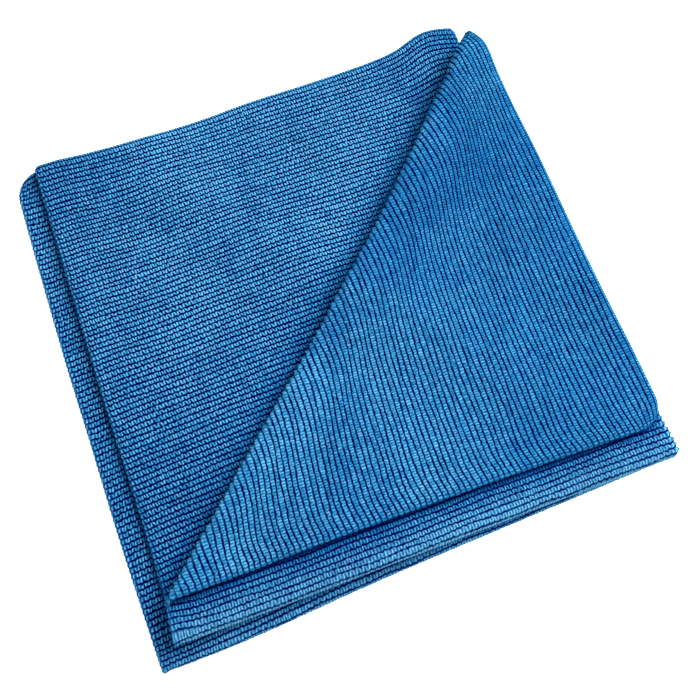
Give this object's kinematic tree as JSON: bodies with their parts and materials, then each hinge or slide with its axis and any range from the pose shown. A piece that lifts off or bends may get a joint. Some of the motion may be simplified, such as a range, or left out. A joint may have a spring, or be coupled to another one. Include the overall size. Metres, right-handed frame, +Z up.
{
  "type": "microfibre cloth",
  "caption": "Blue ribbed microfibre cleaning cloth, folded in quarters and lying flat, with its top corner turned back along the diagonal.",
  "frame": {"origin": "centre of the bounding box, seen from above, at the surface that the cloth rests on", "axes": "+X along the front side towards the side fold, +Y from the front fold to the free far hem, +Z up"},
  "size_m": [0.2074, 0.2048, 0.0236],
  "materials": {
    "cloth": "matt ribbed microfibre knit"
  },
  "bodies": {
    "root": {"cloth": "cloth"}
  },
  "joints": []
}
